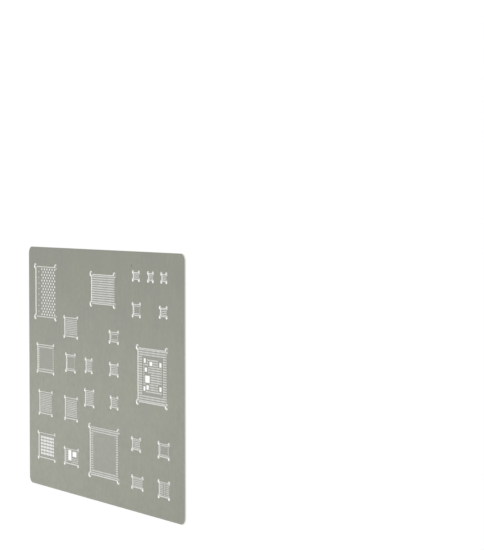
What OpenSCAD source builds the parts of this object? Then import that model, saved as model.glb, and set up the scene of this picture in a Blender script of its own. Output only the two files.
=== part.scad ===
// Solder paste stencil for reworking ball grid array chips.
// One etched stainless steel sheet. Each chip type has a recessed seat on the upper face,
// with round relief ears at its corners, and a pattern of through apertures in the thin
// floor that is left under it. The sheet lies flat, seats up, centred on the origin.

/* [Plate] */
// Width of the sheet, along X
plate_w = 90; // [84:1:120]
// Height of the sheet, along Y
plate_h = 70; // [66:1:100]
// Thickness of the sheet
plate_t = 0.33; // [0.28:0.01:0.6]
// Radius of the sheet's corners
corner_r = 2; // [0.5:0.1:3]

/* [Chip seats] */
// Depth of the recessed seats, etched from the upper face
seat_depth = 0.21; // [0.1:0.01:0.24]
// Gap between a chip's body and the wall of its seat, on each side
seat_gap = 0.1; // [0.05:0.01:0.2]
// Width of the hollow that etching leaves along the foot of a seat's straight walls
wall_w = 0.25; // [0.15:0.01:0.3]
// Width of the same hollow in the relief ears, which etch more like bowls
ear_wall_w = 0.4; // [0.2:0.01:0.45]
// Radius of the relief ears at the corners of the small seats
small_ear_r = 0.55; // [0.5:0.01:0.7]
// Radius of the relief ears at the corners of the large seats
large_ear_r = 0.85; // [0.6:0.01:1]
// A chip with a longer side of at least this length gets the large ears
large_chip = 12; // [10:0.5:16]

/* [Apertures] */
// Least land left between a component window and the nearest aperture
window_land = 0.15; // [0.1:0.01:0.3]

/* [Marks] */
// Diameter of the blind index dimple near the upper edge
dimple_d = 0.8; // [0.5:0.1:1.6]
// Depth of the index dimple
dimple_depth = 0.1; // [0.05:0.01:0.2]

/* [Hidden] */
$fn = 48;

// How far a cutter runs past the face that it opens
cut_over = 0.2;
// Flats that the hollow of a seat's wall is made of
wall_flats = 3;
// Index dimple, as a place in hundredths of the sheet's width and height
DIMPLE_AT = [69.2, 94.4];

// Kinds of aperture field: how many rows of sites a field has along each side of its grid
RING = 1;
DOUBLE_RING = 2;
TRIPLE_RING = 3;
// More rows than any grid has, so no site is left out
FULL = 100;
// Not rows, but every other site, like a chessboard
STAGGERED = 0;

// Chips: [place, body size, aperture fields].
// A place is the chip's centre in hundredths of the sheet's width and height, from its
// lower left corner, so the layout spreads with the sheet.
// Fields: [kind, centre from the chip's centre, [columns, rows], pitch, aperture diameter].
STORAGE = [[11.9, 81.3], [12.8, 14.7], [
    [STAGGERED, [1.4, 0], [11, 17], 0.825, 0.65],
    [FULL, [-4.7, 0], [1, 8], 1.65, 0.45],
]];
MODEM = [[50.8, 84.3], [13.3, 8.2], [[FULL, [0, 0], [20, 12], 0.65, 0.46]]];
SWITCH_A = [[71.7, 90.6], [3.1, 1.9], [[FULL, [0, 0], [5, 3], 0.5, 0.36]]];
SWITCH_B = [[80.4, 90.6], [2.4, 1.9], [[FULL, [0, 0], [4, 3], 0.5, 0.36]]];
SWITCH_C = [[88.2, 90.6], [2.4, 1.9], [[FULL, [0, 0], [4, 3], 0.5, 0.36]]];
TUNER = [[71.9, 77.6], [3.8, 3.0], [[RING, [0, 0], [7, 5], 0.5, 0.36]]];
FILTER = [[87.8, 77.7], [3.3, 2.3], [[FULL, [0, 0], [6, 4], 0.5, 0.36]]];
AMPLIFIER = [[57.9, 66.1], [4.6, 2.7], [[RING, [0, 0], [8, 4], 0.5, 0.36]]];
CHARGER = [[57.9, 53.4], [4.3, 2.8], [[FULL, [0, 0], [8, 5], 0.5, 0.36]]];
AUDIO = [[41.9, 40.4], [4.9, 4.1], [[FULL, [0, 0], [9, 7], 0.5, 0.36]]];
DISPLAY = [[58.0, 40.4], [3.7, 2.7], [[FULL, [0, 0], [6, 4], 0.5, 0.36]]];
PROCESSOR = [[81.0, 53.0], [15.2, 14.5], [
    [TRIPLE_RING, [0, 0], [23, 22], 0.65, 0.44],
    [FULL, [0, 0], [15, 14], 0.65, 0.44],
]];
CARRIER = [[51.3, 19.6], [16.3, 13.5], [[DOUBLE_RING, [0, 0], [24, 20], 0.65, 0.44]]];
RADIO = [[11.7, 53.5], [10.2, 7.9], [[RING, [0, 0], [15, 11], 0.65, 0.44]]];
TOUCH = [[29.3, 53.4], [5.3, 4.5], [[RING, [0, 0], [10, 8], 0.5, 0.36]]];
SENSOR = [[41.6, 53.4], [3.5, 3.3], [[FULL, [0, 0], [6, 6], 0.5, 0.36]]];
MEMORY_A = [[11.7, 34.9], [7.9, 6.4], [[FULL, [0, 0], [14, 11], 0.5, 0.36]]];
MEMORY_B = [[29.6, 34.7], [7.3, 6.0], [[FULL, [0, 0], [13, 10], 0.5, 0.36]]];
POWER = [[12.3, 16.9], [10.3, 7.3], [[FULL, [0, 0], [9, 6], 0.95, 0.8]]];
WIRELESS = [[29.7, 15.0], [8.1, 4.3], [[FULL, [0, 0], [15, 7], 0.5, 0.36]]];
CODEC = [[71.6, 26.0], [4.2, 2.9], [[FULL, [0, 0], [7, 5], 0.5, 0.36]]];
COMPASS = [[87.9, 25.9], [5.1, 3.5], [[RING, [0, 0], [9, 6], 0.5, 0.36]]];
DRIVER = [[72.3, 11.3], [5.5, 2.8], [[FULL, [0, 0], [10, 5], 0.5, 0.36]]];
REGULATOR = [[88.0, 11.2], [5.2, 3.9], [
    [FULL, [-1.7, 0], [3, 7], 0.5, 0.36],
    [FULL, [0, 0], [2, 7], 0.5, 0.36],
    [FULL, [1.7, 0], [3, 7], 0.5, 0.36],
]];
BASEBAND = [[29.6, 67.9], [7.8, 5.4], [[FULL, [0, 0], [14, 9], 0.5, 0.36]]];

CHIPS = [
    STORAGE, MODEM, SWITCH_A, SWITCH_B, SWITCH_C, TUNER, FILTER, AMPLIFIER, CHARGER,
    AUDIO, DISPLAY, PROCESSOR, CARRIER, RADIO, TOUCH, SENSOR, MEMORY_A, MEMORY_B,
    POWER, WIRELESS, CODEC, COMPASS, DRIVER, REGULATOR, BASEBAND,
];

// Component windows: [chip, centre from the chip's centre, size]
WINDOWS = [
    [PROCESSOR, [-4.1, 4.0], [1.1, 1.2]],
    [PROCESSOR, [-0.8, 3.3], [1.6, 1.1]],
    [PROCESSOR, [4.2, 3.3], [1.2, 1.2]],
    [PROCESSOR, [-3.5, 1.6], [1.3, 1.1]],
    [PROCESSOR, [-2.7, -0.9], [2.5, 1.9]],
    [PROCESSOR, [-2.6, -3.1], [1.3, 1.2]],
    [PROCESSOR, [-4.3, -3.5], [1.1, 1.2]],
    [PROCESSOR, [4.2, -3.1], [1.2, 1.2]],
    [WIRELESS, [-1.4, 0.3], [2.0, 3.0]],
    [WIRELESS, [1.5, 0.8], [2.5, 1.5]],
];

function spread(place) = [(place.x / 100 - 0.5) * plate_w, (place.y / 100 - 0.5) * plate_h];

function ear_r(body) = max(body.x, body.y) < large_chip ? small_ear_r : large_ear_r;

// Distance of grid site n from the middle of a grid with count sites
function from_middle(n, count, pitch) = (n - (count - 1) / 2) * pitch;

// How many rows in from the edge of the grid a site lies, 0 on the outermost row
function depth_in(i, j, grid) = min(i, j, grid.x - 1 - i, grid.y - 1 - j);

function in_field(kind, i, j, grid) =
    kind == STAGGERED ? (i + j) % 2 == 0 : depth_in(i, j, grid) < kind;

// True where an aperture at a site keeps its land to every window of its chip
function clear_of_windows(chip, site, r) = len([
    for (w = WINDOWS)
        if (w[0] == chip
            && abs(site.x - w[1].x) < w[2].x / 2 + r + window_land
            && abs(site.y - w[1].y) < w[2].y / 2 + r + window_land) w
]) == 0;

// Section of a recess's wall, from its foot to its rim, where the rim is `reach` from the
// recess's middle and the foot `hollow` nearer. It is level at its foot and upright at its rim.
function wall_section(reach, hollow) = [
    for (k = [0 : wall_flats])
        let (turn = 90 * k / wall_flats)
            [reach - hollow * (1 - sin(turn)), seat_depth * (1 - cos(turn))]
];

// The sheet before etching, a flat rectangle with round corners
module blank() {
    linear_extrude(plate_t)
        union() {
            square([plate_w - 2 * corner_r, plate_h], center = true);
            square([plate_w, plate_h - 2 * corner_r], center = true);
            for (sx = [-1, 1], sy = [-1, 1])
                translate([sx * (plate_w / 2 - corner_r), sy * (plate_h / 2 - corner_r)])
                    circle(r = corner_r);
        }
}

// Trough that cuts the two walls of a seat which are `width` apart
module trough(width, run) {
    wall = wall_section(width / 2, wall_w);
    top = seat_depth + cut_over;
    rotate([90, 0, 0])
        linear_extrude(run + 2 * cut_over, center = true)
            polygon(concat(
                wall,
                [[width / 2, top], [-width / 2, top]],
                [for (k = [wall_flats : -1 : 0]) [-wall[k].x, wall[k].y]]
            ));
}

// Round relief at a seat's corner
module ear(r) {
    top = seat_depth + cut_over;
    rotate_extrude()
        polygon(concat([[0, 0]], wall_section(r, ear_wall_w), [[r, top], [0, top]]));
}

// Recess that a chip drops into, with a relief ear at each corner
module seat_recess(body) {
    recess = [body.x + 2 * seat_gap, body.y + 2 * seat_gap];
    translate([0, 0, plate_t - seat_depth]) {
        intersection() {
            trough(recess.x, recess.y);
            rotate(90)
                trough(recess.y, recess.x);
        }
        for (sx = [-1, 1], sy = [-1, 1])
            translate([sx * recess.x / 2, sy * recess.y / 2, 0])
                ear(ear_r(body));
    }
}

// One field of through apertures, one under each solder ball
module apertures(chip, field) {
    kind = field[0];
    grid = field[2];
    pitch = field[3];
    aperture_d = field[4];
    for (i = [0 : grid.x - 1], j = [0 : grid.y - 1]) {
        site = field[1] + [from_middle(i, grid.x, pitch), from_middle(j, grid.y, pitch)];
        if (in_field(kind, i, j, grid) && clear_of_windows(chip, site, aperture_d / 2))
            translate([site.x, site.y, -cut_over])
                cylinder(h = plate_t + 2 * cut_over, d = aperture_d);
    }
}

// Rectangular windows that clear the components under a chip
module component_windows(chip) {
    for (w = WINDOWS)
        if (w[0] == chip)
            translate([w[1].x - w[2].x / 2, w[1].y - w[2].y / 2, -cut_over])
                cube([w[2].x, w[2].y, plate_t + 2 * cut_over]);
}

module stencil_plate() {
    color([0.62, 0.62, 0.58])
        difference() {
            blank();
            for (chip = CHIPS)
                translate(spread(chip[0])) {
                    seat_recess(chip[1]);
                    for (field = chip[2])
                        apertures(chip, field);
                    component_windows(chip);
                }
            translate(spread(DIMPLE_AT))
                translate([0, 0, plate_t - dimple_depth])
                    cylinder(h = dimple_depth + cut_over, d = dimple_d);
        }
}

stencil_plate();
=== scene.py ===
"""Solder paste stencil: an etched stainless steel sheet lying seats up on a white studio floor."""
import math

import bpy
from mathutils import Matrix, Vector


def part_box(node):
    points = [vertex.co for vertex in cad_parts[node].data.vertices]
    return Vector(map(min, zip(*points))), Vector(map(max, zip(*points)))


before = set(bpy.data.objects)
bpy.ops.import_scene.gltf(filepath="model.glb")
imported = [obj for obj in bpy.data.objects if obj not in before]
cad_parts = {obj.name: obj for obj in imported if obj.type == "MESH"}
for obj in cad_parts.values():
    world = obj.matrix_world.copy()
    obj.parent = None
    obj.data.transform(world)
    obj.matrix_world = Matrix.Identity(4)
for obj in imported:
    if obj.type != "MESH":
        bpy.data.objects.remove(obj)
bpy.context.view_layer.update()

# The sheet, in metres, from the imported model
LOW, HIGH = (Vector(corner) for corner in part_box("stencil_plate"))
CENTRE = (LOW + HIGH) / 2

# Camera: where it stands from the sheet's centre, and the way it looks
CAMERA_FROM_CENTRE = Vector((0.4604, 0.0490, 0.2477))
VIEW_AZIMUTH = math.radians(2.73)
VIEW_ELEVATION = math.radians(32.5)
LENS_MM = 123.7
# Nearest thing that the camera sees, in metres
NEAR_CLIP = 0.01

# Steel: the rolled faces, which drift between two tones, the matt etched floors of the seats, and
# the cut walls, painted bright as a painted highlight
STEEL = (0.258, 0.266, 0.230, 1)
STEEL_WARM = (0.277, 0.280, 0.234, 1)
ETCHED_STEEL = (0.286, 0.292, 0.255, 1)
# Painted highlight: the cut walls are painted this bright to stand in for the light they catch
CUT_WALL_PAINTED_HIGHLIGHT = (0.68, 0.69, 0.66, 1)
STREAK_DEPTH = 0.03
ROUGHNESS = 0.42
ROUGHNESS_DRIFT = 0.04
# A surface whose normal leans further than this from upright is a cut wall
LEVEL = 0.995
# How far inside the sheet's two rolled faces a surface has to lie to count as etched
ETCH_MARGIN = 1e-5
# Noises: grains a metre, and octaves
PATCHES = (90, 3)
STREAKS = (3000, 2)
HAZE = (700, 4)
GRAIN = (9000, 2)
# The part of its 0 to 1 that a noise mostly stays in
NOISE_RANGE = (0.3, 0.7)
# How much longer than wide the rolling streaks are
STREAK_LENGTH = 30
# The grain's height in metres, and how much of it the normal takes on
GRAIN_HEIGHT = 4e-6
GRAIN_STRENGTH = 0.12

# Studio, in metres, with the floor just clear of the sheet's underside
FLOOR_WIDTH = 6.0
FLOOR_GAP = 2e-5
FLOOR_COLOUR = (0.98, 0.98, 0.98, 1)
# How much of the floor's own light, and so of the shadow, the camera sees
SHADOW_SHARE = 0.25
# The room as the camera and mirrors see it, and as it lights matt surfaces
WHITE = (1, 1, 1, 1)
ROOM_GREY = (0.8, 0.8, 0.8, 1)
# Lamps: name, azimuth and elevation in degrees, distance and size in metres, and brightness,
# where 1 is as bright as the white room
LAMPS = (
    ("key", 95, 70, 0.9, 0.75, 1.5),
    ("fill", 190.6, 27.9, 0.35, 0.1, 0.78),
)


def node_input(node, name, value):
    """Sets one socket of a node, by name."""
    node.inputs[name].default_value = value


def new_material(name):
    """An empty node material with an output, and its tree."""
    material = bpy.data.materials.new(name)
    material.use_nodes = True
    tree = material.node_tree
    tree.nodes.clear()
    output = tree.nodes.new("ShaderNodeOutputMaterial")
    return material, tree, output


def noise(tree, place, kind):
    """Noise of one kind, a scale and octaves, at a place socket."""
    scale, octaves = kind
    texture = tree.nodes.new("ShaderNodeTexNoise")
    node_input(texture, "Scale", scale)
    node_input(texture, "Detail", octaves)
    tree.links.new(place, texture.inputs["Vector"])
    return texture.outputs["Fac"]


def remap(tree, source, low, high):
    """Takes a noise value from its usual range to low..high."""
    ramp = tree.nodes.new("ShaderNodeMapRange")
    node_input(ramp, "From Min", NOISE_RANGE[0])
    node_input(ramp, "From Max", NOISE_RANGE[1])
    node_input(ramp, "To Min", low)
    node_input(ramp, "To Max", high)
    tree.links.new(source, ramp.inputs["Value"])
    return ramp.outputs["Result"]


def stretch_along_y(tree, place, times):
    """The same place, squeezed along Y so that a noise there comes out that much longer."""
    mapping = tree.nodes.new("ShaderNodeMapping")
    node_input(mapping, "Scale", (1, 1 / times, 1))
    tree.links.new(place, mapping.inputs["Vector"])
    return mapping.outputs["Vector"]


def mix_colour(tree, factor, first, second):
    """Blends two colours, each a plain value or a socket, by a factor socket."""
    mix = tree.nodes.new("ShaderNodeMix")
    mix.data_type = "RGBA"
    tree.links.new(factor, mix.inputs["Factor"])
    for name, colour in (("A", first), ("B", second)):
        if isinstance(colour, tuple):
            mix.inputs[name].default_value = colour
        else:
            tree.links.new(colour, mix.inputs[name])
    return mix.outputs["Result"]


def math_node(tree, operation, *values):
    """One sum on one or two values, each a plain number or a socket."""
    node = tree.nodes.new("ShaderNodeMath")
    node.operation = operation
    for socket, value in zip(node.inputs, values):
        if isinstance(value, (int, float)):
            socket.default_value = value
        else:
            tree.links.new(value, socket)
    return node.outputs["Value"]


def painted_highlight_wall_mask(tree, coordinates):
    """1 on walls that etching has cut, which don't lie level and get the painted highlight, else 0.
    """
    split = tree.nodes.new("ShaderNodeSeparateXYZ")
    tree.links.new(coordinates.outputs["Normal"], split.inputs["Vector"])
    upright = math_node(tree, "ABSOLUTE", split.outputs["Z"])
    return math_node(tree, "LESS_THAN", upright, LEVEL)


def etched_mask(tree, place):
    """1 between the sheet's two rolled faces, where etching has laid the metal bare, else 0."""
    split = tree.nodes.new("ShaderNodeSeparateXYZ")
    tree.links.new(place, split.inputs["Vector"])
    height = split.outputs["Z"]
    above = math_node(tree, "GREATER_THAN", height, LOW.z + ETCH_MARGIN)
    below = math_node(tree, "LESS_THAN", height, HIGH.z - ETCH_MARGIN)
    return math_node(tree, "MULTIPLY", above, below)


def steel_colour(tree, coordinates):
    """Rolled steel in soft patches with faint streaks, lighter floors, and cut walls painted bright
    as a painted highlight.
    """
    place = coordinates.outputs["Object"]
    patches = remap(tree, noise(tree, place, PATCHES), 0, 1)
    patchy = mix_colour(tree, patches, STEEL, STEEL_WARM)
    streaks = noise(tree, stretch_along_y(tree, place, STREAK_LENGTH), STREAKS)
    shade = remap(tree, streaks, 1 - STREAK_DEPTH, 1 + STREAK_DEPTH)
    rolled = tree.nodes.new("ShaderNodeVectorMath")
    rolled.operation = "SCALE"
    tree.links.new(patchy, rolled.inputs["Vector"])
    tree.links.new(shade, rolled.inputs["Scale"])
    flat = mix_colour(tree, etched_mask(tree, place), rolled.outputs["Vector"], ETCHED_STEEL)
    # The cut walls take the bright colour, a painted highlight
    return mix_colour(tree, painted_highlight_wall_mask(tree, coordinates), flat, CUT_WALL_PAINTED_HIGHLIGHT)


def grain_bump(tree, place):
    """A very fine matt grain, as a normal."""
    bump = tree.nodes.new("ShaderNodeBump")
    node_input(bump, "Strength", GRAIN_STRENGTH)
    node_input(bump, "Distance", GRAIN_HEIGHT)
    tree.links.new(noise(tree, place, GRAIN), bump.inputs["Height"])
    return bump.outputs["Normal"]


def steel_material():
    """Unpolished stainless sheet: satin, faintly mottled, with a fine grain, and a painted highlight
    on the cut walls.
    """
    material, tree, output = new_material("etched_steel")
    coordinates = tree.nodes.new("ShaderNodeTexCoord")
    place = coordinates.outputs["Object"]
    haze = noise(tree, place, HAZE)
    roughness = remap(tree, haze, ROUGHNESS - ROUGHNESS_DRIFT, ROUGHNESS + ROUGHNESS_DRIFT)
    shader = tree.nodes.new("ShaderNodeBsdfPrincipled")
    node_input(shader, "Metallic", 1.0)
    tree.links.new(steel_colour(tree, coordinates), shader.inputs["Base Color"])
    tree.links.new(roughness, shader.inputs["Roughness"])
    tree.links.new(grain_bump(tree, place), shader.inputs["Normal"])
    tree.links.new(shader.outputs["BSDF"], output.inputs["Surface"])
    return material


def seen_ray(tree):
    """1 on rays from the camera and on those that a mirror or glass passes on, else 0."""
    path = tree.nodes.new("ShaderNodeLightPath")
    glossy, through = path.outputs["Is Glossy Ray"], path.outputs["Is Transmission Ray"]
    passed_on = math_node(tree, "MAXIMUM", glossy, through)
    return math_node(tree, "MAXIMUM", path.outputs["Is Camera Ray"], passed_on)


def floor_material():
    """White to the camera and to mirrors, with a share of real light that keeps the shadow."""
    material, tree, output = new_material("studio_floor")
    paper = tree.nodes.new("ShaderNodeBsdfDiffuse")
    node_input(paper, "Color", FLOOR_COLOUR)
    glow = tree.nodes.new("ShaderNodeEmission")
    node_input(glow, "Color", WHITE)
    share = math_node(tree, "MULTIPLY", seen_ray(tree), 1 - SHADOW_SHARE)
    mix = tree.nodes.new("ShaderNodeMixShader")
    tree.links.new(share, mix.inputs["Fac"])
    tree.links.new(paper.outputs["BSDF"], mix.inputs[1])
    tree.links.new(glow.outputs["Emission"], mix.inputs[2])
    tree.links.new(mix.outputs["Shader"], output.inputs["Surface"])
    return material


def build_floor():
    """A wide white floor just under the sheet."""
    half = FLOOR_WIDTH / 2
    mesh = bpy.data.meshes.new("floor")
    corners = [(-half, -half, 0), (half, -half, 0), (half, half, 0), (-half, half, 0)]
    mesh.from_pydata(corners, [], [(0, 1, 2, 3)])
    floor = bpy.data.objects.new("floor", mesh)
    floor.location = (CENTRE.x, CENTRE.y, LOW.z - FLOOR_GAP)
    bpy.context.collection.objects.link(floor)
    mesh.materials.append(floor_material())


def build_world():
    """A white room to the camera and to mirrors, which lights matt surfaces with a plain grey."""
    world = bpy.data.worlds.new("studio")
    bpy.context.scene.world = world
    world.use_nodes = True
    tree = world.node_tree
    tree.nodes.clear()
    output = tree.nodes.new("ShaderNodeOutputWorld")
    room = tree.nodes.new("ShaderNodeBackground")
    node_input(room, "Color", ROOM_GREY)
    white = tree.nodes.new("ShaderNodeBackground")
    node_input(white, "Color", WHITE)
    mix = tree.nodes.new("ShaderNodeMixShader")
    tree.links.new(seen_ray(tree), mix.inputs["Fac"])
    tree.links.new(room.outputs["Background"], mix.inputs[1])
    tree.links.new(white.outputs["Background"], mix.inputs[2])
    tree.links.new(mix.outputs["Shader"], output.inputs["Surface"])


def area_light(name, azimuth, elevation, distance, size, brightness):
    """A soft square lamp that faces the sheet's centre."""
    azimuth, elevation = math.radians(azimuth), math.radians(elevation)
    away = Vector((
        math.cos(elevation) * math.cos(azimuth),
        math.cos(elevation) * math.sin(azimuth),
        math.sin(elevation),
    ))
    lamp = bpy.data.lights.new(name, "AREA")
    lamp.shape = "SQUARE"
    lamp.size = size
    lamp.energy = brightness * math.pi * size ** 2
    light = bpy.data.objects.new(name, lamp)
    light.location = CENTRE + away * distance
    light.rotation_euler = away.to_track_quat("Z", "Y").to_euler()
    bpy.context.collection.objects.link(light)


def build_camera():
    """Looks down along the sheet's length, with the sheet's far edge (+Y) upwards in the view."""
    data = bpy.data.cameras.new("camera")
    data.lens = LENS_MM
    data.clip_start = NEAR_CLIP
    camera = bpy.data.objects.new("camera", data)
    back = Vector((
        math.cos(VIEW_ELEVATION) * math.cos(VIEW_AZIMUTH),
        math.cos(VIEW_ELEVATION) * math.sin(VIEW_AZIMUTH),
        math.sin(VIEW_ELEVATION),
    ))
    right = Vector((0, 1, 0)).cross(back).normalized()
    up = back.cross(right)
    turn = Matrix((right, up, back)).transposed()
    camera.matrix_world = Matrix.Translation(CENTRE + CAMERA_FROM_CENTRE) @ turn.to_4x4()
    bpy.context.collection.objects.link(camera)
    bpy.context.scene.camera = camera


def dress_plate():
    """Gives the CAD sheet its steel."""
    plate = bpy.data.objects["stencil_plate"]
    steel = steel_material()
    for slot in plate.material_slots:
        slot.material = steel


bpy.context.scene.view_settings.view_transform = "Standard"
build_camera()
build_world()
build_floor()
for lamp in LAMPS:
    area_light(*lamp)
dress_plate()
